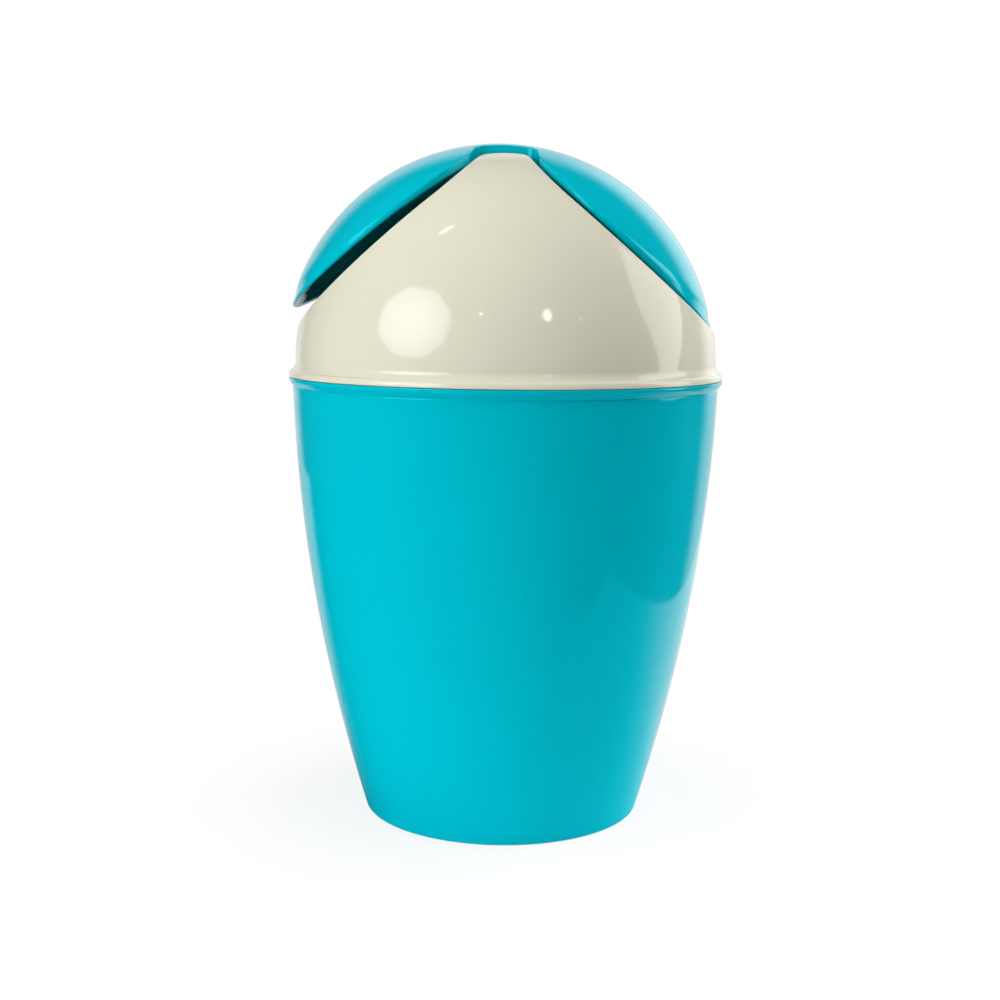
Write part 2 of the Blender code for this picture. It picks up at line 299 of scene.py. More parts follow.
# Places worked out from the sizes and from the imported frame
rim_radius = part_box("bucket")[1].x
rim_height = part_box("bucket")[1].z
seat_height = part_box("dome_frame")[0].z + SKIRT_DEPTH
pivot_height = next(j["pos_m"][2] for j in frame["joints"] if j["name"] == "lid_swing")
neck_radius = rim_radius - RIM_OVERHANG
upright_height = rim_height + UPRIGHT_ABOVE_RIM
dome_centre = seat_height + DOME_CENTRE_ABOVE_SEAT
dome_radius = rim_radius - FLANGE_WIDTH
dome_inside = dome_radius - DOME_WALL
opening_distance = math.sqrt(dome_inside ** 2 - OPENING_HALF_WIDTH ** 2)
panel_apex = dome_centre + opening_distance / math.cos(PANEL_SLOPE)
panel_crown = dome_centre + math.sqrt(dome_inside ** 2 - PANEL_GAP_HALF ** 2)
lid_radius = dome_radius + LID_PROUD
lid_inside = lid_radius - LID_WALL
edge_apex = panel_apex + LID_EDGE_GAP
bridge_foot = dome_centre + lid_radius - BRIDGE_DEPTH
bridge_half = PANEL_GAP_HALF - SWING_CLEARANCE
lobe_half = OPENING_HALF_WIDTH - SWING_CLEARANCE
lobe_centre = opening_distance * math.sin(PANEL_SLOPE)


# Shapes

def wall_radius(height):
    """Outer radius of the bucket: a parabola that would stand upright a little above the rim."""
    share = (upright_height - height) / upright_height
    return neck_radius - (neck_radius - BASE_RADIUS) * share ** 2


def panel_edge(x):
    """Height of the frame's cut edge: a straight slope that steepens between the shoulders, blended there
    with a flat round crown."""
    across = np.abs(x)
    reach = np.maximum(SHOULDER_HALF - across, 0)
    slope = panel_apex - math.tan(PANEL_SLOPE) * across + reach ** 2 / (2 * SHOULDER_BEND)
    crown = panel_crown - (SHOULDER_HALF - reach) ** 2 / (2 * CROWN_BEND)
    overlap = np.maximum(CROWN_BLEND - np.abs(slope - crown), 0) / CROWN_BLEND
    return np.minimum(slope, crown) - CROWN_BLEND * overlap ** 2 / 4


def lid_edge(x):
    """Height of the lid's lower edge: a slope that sags a little half way out, flat under the bridge."""
    across = np.abs(x)
    sag = EDGE_SAG * np.maximum(1 - ((across - SAG_PLACE) / SAG_HALF) ** 2, 0)
    slope = edge_apex - math.tan(LID_EDGE_SLOPE) * across - sag
    overlap = np.maximum(KNEE_BLEND - np.abs(slope - bridge_foot), 0) / KNEE_BLEND
    return np.minimum(slope, bridge_foot) - KNEE_BLEND * overlap ** 2 / 4


def curved(start, corner, end, rows):
    """Rows of a rounded corner: the quadratic curve from start to end that is pulled to the corner."""
    t = np.linspace(0, 1, rows + 1)
    t = t.reshape((-1,) + (1,) * np.ndim(start))
    return (1 - t) ** 2 * start + 2 * t * (1 - t) * corner + t ** 2 * end


def rounded(corners, closed=False):
    """A path through corners (a, b, rounding): each corner is cut back by its rounding and curved over."""
    corners = [np.array(c, float) for c in corners]
    count = len(corners)
    path = []
    for i, (a, b, cut) in enumerate(corners):
        here = np.array([a, b])
        if cut == 0 or (not closed and i in (0, count - 1)):
            path.append(here[None, :])
            continue
        back = corners[i - 1][:2] - here
        ahead = corners[(i + 1) % count][:2] - here
        start = here + back / np.linalg.norm(back) * cut
        end = here + ahead / np.linalg.norm(ahead) * cut
        path.append(curved(start, here, end, ROUND_ROWS))
    return np.concatenate(path)


def evenly(path, steps):
    """The same path with points at even steps along its length."""
    length = np.concatenate([[0], np.cumsum(np.linalg.norm(np.diff(path, axis=0), axis=1))])
    even = np.linspace(0, length[-1], steps + 1)
    return np.stack([np.interp(even, length, path[:, k]) for k in range(path.shape[1])], 1)


def meshed(name, points, faces):
    """A mesh of these points and faces."""
    mesh = bpy.data.meshes.new(name)
    mesh.from_pydata(points, [], faces)
    return mesh


def placed(name, mesh, material):
    """An object of this mesh, in one material."""
    mesh.materials.append(material)
    piece = bpy.data.objects.new(name, mesh)
    bpy.context.scene.collection.objects.link(piece)
    return piece


def mesh_piece(name, grid, material, wrap_rows=False, wrap_columns=False):
    """A closed piece from one grid of points (rows, columns, 3): quads between neighbouring points,
    poles and seams merged, faces turned outwards and shaded smooth."""
    rows, columns = grid.shape[:2]
    i, j = np.meshgrid(np.arange(rows if wrap_rows else rows - 1),
                       np.arange(columns if wrap_columns else columns - 1), indexing="ij")
    down = (i + 1) % rows
    across = (j + 1) % columns
    quads = [i * columns + j, i * columns + across, down * columns + across, down * columns + j]
    mesh = meshed(name, grid.reshape(-1, 3), np.stack(quads, -1).reshape(-1, 4))
    welded = bmesh.new()
    welded.from_mesh(mesh)
    bmesh.ops.remove_doubles(welded, verts=welded.verts, dist=MERGE_DISTANCE)
    bmesh.ops.dissolve_degenerate(welded, edges=welded.edges, dist=MERGE_DISTANCE / 2)
    bmesh.ops.recalc_face_normals(welded, faces=welded.faces)
    welded.to_mesh(mesh)
    welded.free()
    mesh.shade_smooth()
    return placed(name, mesh, material)


def revolved(profile, turns):
    """A turned grid: each profile point (radius, height) carried round the Z axis."""
    angle = np.linspace(0, 2 * math.pi, turns, endpoint=False)
    radius = profile[:, 0, None]
    height = np.broadcast_to(profile[:, 1, None], (len(profile), turns))
    return np.stack([radius * np.cos(angle), radius * np.sin(angle), height], -1)


# Bucket

def bucket_profile():
    """Section of the bucket from the middle of its floor, up inside, over the rim, down outside and under:
    parabola walls, and a bead of an upright lip, a slanted underside and a fine groove at its foot."""
    floor_top = FOOT_RECESS + FLOOR_THICKNESS
    up = np.linspace(floor_top + FLOOR_FILLET, rim_height - SMALL_ROUND - RIM_ROUND, WALL_ROWS)
    inside = [(wall_radius(z) - BUCKET_WALL, z, 0) for z in up]
    bead_foot = rim_height - RIM_BEAD_HEIGHT
    groove = bead_foot - RIM_GROOVE_HEIGHT
    wall_top = groove - RIM_GROOVE_HEIGHT
    down = np.linspace(wall_top, BASE_CORNER + SMALL_ROUND, WALL_ROWS)
    ring_inside = BASE_RADIUS - FOOT_RING_WIDTH
    corners = [(0, floor_top, 0), (wall_radius(floor_top) - BUCKET_WALL, floor_top, FLOOR_FILLET)]
    corners += inside
    corners += [(wall_radius(rim_height) - BUCKET_WALL, rim_height, SMALL_ROUND)]
    corners += [(rim_radius, rim_height, RIM_ROUND), (rim_radius, rim_height - RIM_LIP_HEIGHT, RIM_ROUND)]
    corners += [(wall_radius(bead_foot) + RIM_GROOVE, bead_foot, RIM_GROOVE)]
    corners += [(wall_radius(groove) - RIM_GROOVE, groove, RIM_GROOVE / 2)]
    corners += [(wall_radius(wall_top), wall_top, RIM_GROOVE)]
    corners += [(wall_radius(z), z, 0) for z in down[1:]]
    corners += [(wall_radius(0), 0, BASE_CORNER), (ring_inside, 0, SMALL_ROUND)]
    corners += [(ring_inside, FOOT_RECESS, SMALL_ROUND), (0, FOOT_RECESS, 0)]
    return rounded(corners)


def make_bucket(material):
    """The bucket, turned from its section."""
    return mesh_piece("bucket_moulding", revolved(bucket_profile(), TURNS), material, wrap_columns=True)


# Domed frame

def edge_curve(radius, drop, share):
    """The cut edge on a sphere of this radius, lowered by drop, front half: x is the share of its own tip,
    z is the edge's height there and y closes the sphere."""
    slope = math.tan(PANEL_SLOPE)
    apex = panel_apex - drop - dome_centre
    tip = (slope * apex + math.sqrt((1 + slope ** 2) * radius ** 2 - apex ** 2)) / (1 + slope ** 2)
    x = share * tip
    up = panel_edge(x) - drop - dome_centre
    depth = np.sqrt(np.maximum(radius ** 2 - x ** 2 - up ** 2, 0))
    depth[np.abs(share) >= 1] = 0
    return np.stack([x, -depth, dome_centre + up], -1)


def edge_stations():
    """Shares of the tip distance, spaced evenly along the cut edge and closer at the crown's corners."""
    fine = np.sin(np.linspace(-math.pi / 2, math.pi / 2, FINE_STATIONS + 1))
    line = edge_curve(dome_radius, 0, fine)
    step = np.linalg.norm(np.diff(line, axis=0), axis=1)
    middle = np.abs(line[1:, 0] + line[:-1, 0]) / 2
    step = step * (1 + CORNER_CROWDING * np.exp(-((middle - CORNER_PLACE) / CORNER_SPREAD) ** 2))
    run = np.concatenate([[0], np.cumsum(step)])
    return np.interp(np.linspace(0, run[-1], EDGE_STATIONS + 1), run, fine)


def great_circle(start, end, rows):
    """Rows along the great circles from start to end points about the dome's centre."""
    centre = np.array([0, 0, dome_centre])
    a = start - centre
    b = end - centre
    radius = np.linalg.norm(a, axis=1)
    turn = np.arccos(np.sum(a * b, axis=1) / (radius * np.linalg.norm(b, axis=1)))[None, :, None]
    t = np.linspace(0, 1, rows + 1)[:, None, None]
    return centre + (np.sin((1 - t) * turn) * a + np.sin(t * turn) * b) / np.sin(turn)


def flange_profile():
    """Section from the dome's foot: a cove that flares out with a power of its depth, a fine step, a
    quarter ellipse that flares to the widest point just above the seat, then the seat and the skirt."""
    step_height = seat_height + FLANGE_STEP_HEIGHT
    cove_end = dome_radius + COVE_REACH
    corners = [(dome_radius, dome_centre, 0)]
    for z in np.linspace(dome_centre, step_height, FLANGE_ROWS)[1:-1]:
        share = (dome_centre - z) / (dome_centre - step_height)
        corners.append((dome_radius + COVE_REACH * share ** COVE_BEND_POWER, z, 0))
    corners.append((cove_end, step_height, 0))
    low = seat_height + FLANGE_EDGE_HEIGHT
    start = cove_end + FLANGE_STEP
    for turn in np.linspace(0, math.pi / 2, FLANGE_ROWS):
        r = start + (rim_radius - start) * math.sin(turn)
        corners.append((r, low + (step_height - low) * math.cos(turn), 0))
    skirt = wall_radius(seat_height - SKIRT_DEPTH) - BUCKET_WALL - SKIRT_CLEARANCE
    foot = seat_height - SKIRT_DEPTH
    corners += [(rim_radius, seat_height, FLANGE_EDGE_ROUND)]
    corners += [(skirt, seat_height, SMALL_ROUND), (skirt, foot, SMALL_ROUND)]
    corners += [(skirt - DOME_WALL, foot, SMALL_ROUND), (skirt - DOME_WALL, seat_height, 0)]
    corners += [(dome_inside, dome_centre, 0)]
    return rounded(corners)


def half_frame(share):
    """Front half of the frame as one closed band of rows: rim of the cut, outside, flange, skirt, inside.
    The rows run along great circles on the dome and round the Z axis on the flange and skirt."""
    level = np.stack([share, -np.sqrt(np.maximum(1 - share ** 2, 0)), 0 * share], -1)
    foot = np.array([0, 0, dome_centre])
    rim = edge_curve(dome_radius - EDGE_ROUND, 0, share)
    outside = edge_curve(dome_radius, EDGE_ROUND, share)
    inside = edge_curve(dome_inside, EDGE_ROUND, share)
    back = edge_curve(dome_inside + EDGE_ROUND, 0, share)
    band = [curved(rim, edge_curve(dome_radius, 0, share), outside, ROUND_ROWS)[:-1]]
    band.append(great_circle(outside, foot + level * dome_radius, DOME_ROWS)[:-1])
    profile = flange_profile()
    turned = profile[:, 0, None, None] * level[None]
    turned[..., 2] = profile[:, 1, None]
    band.append(turned[:-1])
    band.append(great_circle(foot + level * dome_inside, inside, INSIDE_ROWS)[:-1])
    band.append(curved(inside, edge_curve(dome_inside, 0, share), back, ROUND_ROWS))
    return np.concatenate(band)


def make_frame(material):
    """The domed frame: its front half and the mirrored back half meet at the two tips of the cut."""
    front = half_frame(edge_stations())
    rear = front[:, -2:0:-1] * np.array([1, -1, 1])
    grid = np.concatenate([front, rear], axis=1)
    return mesh_piece("dome_frame_moulding", grid, material, wrap_rows=True, wrap_columns=True)


# Plates and pins of the hinge

def plate(name, outline, hub, hole, near, far, laid_across_x, material):
    """A flat plate with rounded edges.  Its outline and, where it has one, its round hole are walked at the
    same angles about the hub; laid_across_x puts it in the YZ plane, otherwise in the XZ plane."""
    arm = outline - hub
    length = np.linalg.norm(arm, axis=1)
    unit = arm / length[:, None]
    cut = PLATE_ROUND if far > near else -PLATE_ROUND

    def ring(distance, depth):
        flat = hub + unit * np.broadcast_to(distance, length.shape)[:, None]
        return np.concatenate([flat, np.full((len(flat), 1), depth)], 1)

    def edge(face, wall, side, depth):
        """The round between the plate's face and an edge wall: distances, then depths."""
        return curved(ring(face, side), ring(wall, side), ring(wall, depth), ROUND_ROWS)

    middle = hole + PLATE_ROUND if hole else 0
    rows = [ring(middle, near)[None], edge(length - PLATE_ROUND, length, near, near + cut)]
    rows += [edge(length - PLATE_ROUND, length, far, far - cut)[::-1], ring(middle, far)[None]]
    if hole:
        rows += [edge(middle, hole, far, far - cut)[1:], edge(middle, hole, near, near + cut)[:0:-1]]
    grid = np.concatenate(rows)
    order = [2, 0, 1] if laid_across_x else [0, 2, 1]
    return mesh_piece(name, grid[..., order], material, wrap_rows=bool(hole), wrap_columns=True)


def web_outline(side):
    """A web from the side: the panel's inner curve, and the short upright nose that carries the pin."""
    top = panel_crown - WEB_TOP_BELOW_CROWN
    foot = top - WEB_DEPTH
    bite = dome_inside + WEB_BITE
    end = side * (bridge_half + WEB_CLEARANCE)
    rise = np.linspace(*np.arcsin((np.array([foot, top]) - dome_centre) / bite), WEB_WALL_POINTS)
    wall = [(side * bite * math.cos(a), dome_centre + bite * math.sin(a), 0) for a in rise]
    nose = [(end, pivot_height + WEB_END_RISE, WEB_CORNER), (end, pivot_height - WEB_END_DROP, WEB_CORNER)]
    path = rounded(wall + nose, closed=True)
    return evenly(np.concatenate([path, path[:1]]), WEB_STEPS)[:-1]


def tongue_outline():
    """A tongue from the front: as wide as the bridge is long at its root, tapering to a round end."""
    root = bridge_foot + TONGUE_BITE - pivot_height
    half = TONGUE_HALF_WIDTH
    taper = math.atan2(half - TONGUE_END_RADIUS, bridge_foot - pivot_height)
    turn = np.linspace(taper, -math.pi - taper, TONGUE_END_POINTS)
    end = [(TONGUE_END_RADIUS * math.cos(a), TONGUE_END_RADIUS * math.sin(a), 0) for a in turn]
    path = rounded([(-half, root, TONGUE_CORNER), (half, root, TONGUE_CORNER)] + end, closed=True)
    path = path + np.array([0, pivot_height])
    return evenly(np.concatenate([path, path[:1]]), TONGUE_STEPS)[:-1]


def make_web(side, name, material):
    """A web behind a panel, from the panel's inside to the nose beside the lid's tongue."""
    outline = web_outline(side)
    half = WEB_THICKNESS / 2
    return plate(name + "_web", outline, outline.mean(axis=0), 0, -half, half, True, material)


def make_pin(side, name, material):
    """A hinge pin: a round bar along Y with a chamfered tip, from inside the web through the tongue."""
    tip = bridge_half - TONGUE_THICKNESS - PIN_REACH
    root = bridge_half + WEB_CLEARANCE + PIN_ROOT
    corners = [(0, tip, 0), (PIN_RADIUS - PIN_CHAMFER, tip, PIN_EDGE_ROUND)]
    corners += [(PIN_RADIUS, tip + PIN_CHAMFER, PIN_EDGE_ROUND), (PIN_RADIUS, root, PIN_EDGE_ROUND)]
    corners += [(0, root, 0)]
    grid = revolved(rounded(corners), PIN_TURNS)[..., [0, 2, 1]] * np.array([1, side, 1])
    grid[..., 2] += pivot_height
    return mesh_piece(name + "_pin", grid, material, wrap_columns=True)


def make_tongue(side, name, material):
    """A hinge tongue under the bridge, with the hole for the pin."""
    hub = np.array([0, pivot_height])
    hole = PIN_RADIUS + HOLE_CLEARANCE
    outer = side * (bridge_half - TONGUE_INSET)
    inner = side * (bridge_half - TONGUE_THICKNESS)
    return tilted(plate(name + "_tongue", tongue_outline(), hub, hole, outer, inner, False, material))


# Swing lid

def lid_tip():
    """How far the lid reaches: its edge meets the circle that just clears the opening's corner, and its
    flare takes up most of that clearance."""
    low = math.pi / 2 - PANEL_SLOPE - math.asin(OPENING_HALF_WIDTH / dome_inside)
    across = dome_inside * math.cos(low)
    height = dome_centre + dome_inside * math.sin(low) - pivot_height
    path = math.hypot(across, height) - SWING_CLEARANCE
    slope = math.tan(LID_EDGE_SLOPE)
    apex = edge_apex - pivot_height
    reach = (slope * apex + math.sqrt((1 + slope ** 2) * path ** 2 - apex ** 2)) / (1 + slope ** 2)
    return reach + TIP_EXTRA


def lid_outline(inset):
    """The lid's outline from above, moved inwards by inset, once round: half bridge, hollow corner, ramp,
    sharp corner, half ellipse of the lobe that ends in a slight point, then the mirror images.  Every inset
    gives the same number of points, so outlines can be joined point by point."""
    inward = lobe_centre - LOBE_ROOT - inset
    outward = lid_tip() - lobe_centre - inset
    half = lobe_half - inset

    def lobe(angle):
        """The lobe at an angle: an ellipse whose outer half is drawn to a point by a power of the sine."""
        length = np.where(angle < math.pi / 2, outward, inward)
        power = np.where(angle < math.pi / 2, LOBE_POINT_POWER, 1)
        return np.stack([lobe_centre + length * np.cos(angle), half * np.sin(angle) ** power], -1)

    root = math.acos((BRIDGE_HALF_LENGTH + LOBE_RAMP - lobe_centre) / (inward + inset))
    ramp = np.array([LOBE_RAMP, lobe_half * math.sin(root) - bridge_half])
    ramp = ramp / np.linalg.norm(ramp)
    middle = np.array([0, bridge_half - inset])
    foot = np.array([BRIDGE_HALF_LENGTH + inset, bridge_half - inset])
    hollow = BRIDGE_CORNER + inset
    begin = math.acos((BRIDGE_HALF_LENGTH + LOBE_RAMP + inset - lobe_centre) / inward)
    begin = begin - max(LOBE_CORNER - inset, SMALL_ROUND) / half
    meet = lobe(np.array(begin))
    tangent = meet - lobe(np.array(begin + TANGENT_ANGLE))
    tangent = tangent / np.linalg.norm(tangent)
    gap = meet - foot
    along = (gap[0] * tangent[1] - gap[1] * tangent[0]) / (ramp[0] * tangent[1] - ramp[1] * tangent[0])
    corner = foot + ramp * along
    corner_start = corner - ramp * np.linalg.norm(meet - corner)
    turn_in = foot - np.array([hollow, 0])
    turn_out = foot + ramp * hollow
    parts = [np.array([middle, turn_in]), curved(turn_in, foot, turn_out, OUTLINE_CORNER_ROWS)]
    parts += [np.array([turn_out, corner_start]), curved(corner_start, corner, meet, OUTLINE_CORNER_ROWS)]
    parts += [lobe(np.linspace(begin, 0, LOBE_POINTS))]
    quarter = [middle[None]] + [evenly(part, steps)[1:] for part, steps in zip(parts, OUTLINE_STEPS)]
    quarter = np.concatenate(quarter)
    right = np.concatenate([quarter, quarter[-2::-1] * np.array([1, -1])])
    return np.concatenate([right, (-right)[1:-1]])


def inward_normals(path):
    """Unit vectors square to a closed outline, pointing inwards."""
    ahead = np.roll(path, -1, axis=0) - np.roll(path, 1, axis=0)
    ahead = ahead / np.linalg.norm(ahead, axis=1)[:, None]
    return np.stack([ahead[:, 1], -ahead[:, 0]], -1)


def on_sphere(plan, radius):
    """Points above plan points on a sphere about the dome's centre."""
    up = np.sqrt(radius ** 2 - np.sum(plan ** 2, axis=-1, keepdims=True))
    return np.concatenate([plan, dome_centre + up], -1)


def at_height(plan, height):
    """Plan points at the heights given."""
    return np.concatenate([plan, np.broadcast_to(height, plan.shape[:-1])[..., None]], -1)


def rows_to_middle(path, start, radius, rows):
    """Rows on a sphere from the start points straight to the lid's middle line, closer together there.
    The middle line lies under the outline's points, drawn back from the tips by a parabola."""
    across = np.abs(path[:, 0])
    back = MIDDLE_BACK_SHARE * np.maximum(across - MIDDLE_FROM, 0) ** 2 / (2 * MIDDLE_BEND)
    middle = np.stack([np.sign(path[:, 0]) * (across - back), 0 * across], -1)
    t = (1 - (1 - np.linspace(0, 1, rows + 1)) ** MIDDLE_CROWDING_POWER)[:, None, None]
    return on_sphere((1 - t) * start + t * middle, radius)


def lid_band():
    """The lid as one band of rows for each point of its outline: the middle line on top, the dome, the
    crease, the short skirt that flares at the tips, its lip, and the same way back inside.  The lip grows
    from the bridge outwards and fades again where the flare begins."""
    path = lid_outline(0)
    inner_path = lid_outline(LID_WALL)
    inward = inward_normals(path)
    across = np.abs(path[:, 0])
    ease = np.clip((across - TIP_FLARE_FROM) / (TIP_FLARE_FULL - TIP_FLARE_FROM), 0, 1)
    ease = ease ** 2 * (3 - 2 * ease)
    draw = inward * (TIP_FLARE * ease)[:, None]
    down = np.linspace(0, 1, LID_SKIRT_POINTS)[:, None]
    flare = down[..., None] ** FLARE_BEND_POWER

    rim = on_sphere(path + draw, lid_radius)
    tall = rim[:, 2] - lid_edge(path[:, 0])
    soft = np.clip((across - BRIDGE_HALF_LENGTH) / OPENING_HALF_WIDTH, 0, 1)
    soft = CREASE_AT_BRIDGE_SHARE + (1 - CREASE_AT_BRIDGE_SHARE) * soft
    soft = np.minimum(soft, CREASE_HEIGHT_SHARE * tall / CREASE_ROUND)[:, None]
    top_start = path + draw + (lid_outline(CREASE_ROUND) - path) * soft
    top = rows_to_middle(path, top_start, lid_radius, LID_TOP_ROWS)[::-1]
    skirt_start = rim - np.array([0, 0, CREASE_ROUND]) * soft
    band = [top[:-1], curved(top[-1], rim, skirt_start, CREASE_ROWS)[:-1]]

    out = np.clip((across - BRIDGE_HALF_LENGTH) / LIP_RISE_RUN, 0, 1) * (1 - ease)
    rise = np.minimum(LIP_ROUND + (LIP_RISE - LIP_ROUND) * out, LIP_HEIGHT_SHARE * tall)
    deep = (LIP_ROUND + (LIP_DEPTH - LIP_ROUND) * out)[:, None]
    lip_top = lid_edge(path[:, 0]) + rise
    outer_height = skirt_start[:, 2] + (lip_top - skirt_start[:, 2]) * down
    band.append(at_height(path + draw * (1 - flare), outer_height)[:-1])

    lip_end = at_height(path + (inner_path - path) * deep / LID_WALL, lip_top - rise)
    band.append(curved(at_height(path, lip_top), at_height(path, lip_top - rise), lip_end, LIP_ROWS))
    inner_foot = lid_edge(inner_path[:, 0])
    inner_start = at_height(lid_outline(LID_WALL - LIP_INNER_ROUND), inner_foot)
    inner_corner = at_height(inner_path, inner_foot)
    inner_end = at_height(inner_path, inner_foot + LIP_INNER_ROUND)
    band.append(curved(inner_start, inner_corner, inner_end, ROUND_ROWS)[:-1])

    under_start = lid_outline(LID_WALL + INNER_CREASE_ROUND) + draw
    under = rows_to_middle(path, under_start, lid_inside, LID_UNDER_ROWS)
    inner_crease = on_sphere(inner_path + draw, lid_inside)
    wall_end = inner_crease - np.array([0, 0, INNER_CREASE_ROUND])
    inner_height = wall_end[:, 2] + (inner_end[:, 2] - wall_end[:, 2]) * down
    band.append(at_height(inner_path + draw * (1 - flare), inner_height)[:0:-1])
    band.append(curved(wall_end, inner_crease, under[0], ROUND_ROWS)[:-1])
    band.append(under)
    return np.concatenate(band)


def tilted(piece):
    """Turn a finished lid piece about the hinge axis by the tilt it is photographed at."""
    pivot = Vector((0, 0, pivot_height))
    turn = Matrix.Translation(pivot) @ Matrix.Rotation(REST_TILT, 4, "Y") @ Matrix.Translation(-pivot)
    piece.data.transform(turn)
    return piece


def make_lid(material):
    """The lid: its band closed along the middle line, where front and back columns end on the same points."""
    return tilted(mesh_piece("swing_lid_moulding", lid_band(), material, wrap_columns=True))


# Materials

SMOOTH = {"interpolation_type": "SMOOTHSTEP"}


def srgb(code):
    """A hex sRGB colour as linear red, green, blue and full alpha."""
    share = np.array([int(code[i:i + 2], 16) for i in (0, 2, 4)]) / 255
    linear = np.where(share <= 0.04045, share / 12.92, ((share + 0.055) / 1.055) ** 2.4)
    return (*linear.tolist(), 1.0)


def add(tree, kind, settings=None, **links):
    """One node: its kind, its settings by property, socket name or socket number, and its links as
    socket=output, where a name's spaces are underscores and a number follows an underscore."""
    node = tree.nodes.new(kind)
    for key, value in (settings or {}).items():
        if isinstance(key, int) or key in node.inputs:
            node.inputs[key].default_value = value
        else:
            setattr(node, key, value)
    for key, source in links.items():
        socket = node.inputs[int(key[1:])] if key[1:].isdigit() else node.inputs[key.replace("_", " ")]
        tree.links.new(source, socket)
    return node


def bare_material(name):
    """A new material without nodes, and its tree."""
    made = bpy.data.materials.new(name)
    made.use_nodes = True
    made.node_tree.nodes.clear()
    return made, made.node_tree


def specks_and_painted_shade(tree, place, pigment):
    """Small faults in the pale pigment, a few grey specks half a millimetre wide, and a faint grey patch of
    painted shade on the front panel's top edge, where the lid's bridge shades it."""
    cells = add(tree, "ShaderNodeTexVoronoi", {"Scale": 1 / SPECK_SPACING}, Vector=place)
    near = add(tree, "ShaderNodeMath", {"operation": "LESS_THAN", 1: SPECK_RADIUS / SPECK_SPACING},
               _0=cells.outputs["Distance"])
    chance = add(tree, "ShaderNodeSeparateColor", None, Color=cells.outputs["Color"])
    kept = add(tree, "ShaderNodeMath", {"operation": "LESS_THAN", 1: SPECK_SHARE}, _0=chance.outputs[0])
    speck = add(tree, "ShaderNodeMath", {"operation": "MULTIPLY"}, _0=near.outputs[0], _1=kept.outputs[0])
    # A patch of painted shade on the front panel's crown, under the lid's bridge
    away = add(tree, "ShaderNodeVectorMath", {"operation": "DISTANCE", 1: SHADE_PATCH_PLACE}, Vector=place)
    painted_shade = add(tree, "ShaderNodeMapRange",
                {**SMOOTH, "From Max": SHADE_PATCH_RADIUS, "To Min": SHADE_PATCH_SHARE, "To Max": 0.0},
                Value=away.outputs["Value"])
    # Darkened by the specks, which are real dirt, and by the patch of painted shade
    specks_and_shade = add(tree, "ShaderNodeMath", {"operation": "MULTIPLY_ADD", 1: SPECK_DARKNESS_SHARE},
               _0=speck.outputs[0], _2=painted_shade.outputs[0])
    mixed = add(tree, "ShaderNodeMix", {"data_type": "RGBA", 7: srgb(SPECK_AND_SHADE_COLOUR)},
                Factor=specks_and_shade.outputs[0], _6=pigment)
    return mixed.outputs[2]


def web_sink(tree, place):
    """Height of the faint upright sink that the cooling web draws into the panel in front of it."""
    axes = add(tree, "ShaderNodeSeparateXYZ", None, Vector=place)
    off = add(tree, "ShaderNodeMath", {"operation": "ABSOLUTE"}, _0=axes.outputs["X"])
    side = add(tree, "ShaderNodeMapRange", {**SMOOTH, "From Max": SINK_HALF_WIDTH}, Value=off.outputs[0])
    middle = pivot_height - SINK_BELOW_PIVOT
    up = add(tree, "ShaderNodeMath", {"operation": "SUBTRACT", 1: middle}, _0=axes.outputs["Z"])
    up = add(tree, "ShaderNodeMath", {"operation": "ABSOLUTE"}, _0=up.outputs[0])
    end = add(tree, "ShaderNodeMapRange",
              {**SMOOTH, "From Min": SINK_HALF_HEIGHT / 2, "From Max": SINK_HALF_HEIGHT},
              Value=up.outputs[0])
    flat = add(tree, "ShaderNodeMath", {"operation": "MAXIMUM"}, _0=side.outputs[0], _1=end.outputs[0])
    return flat.outputs[0]


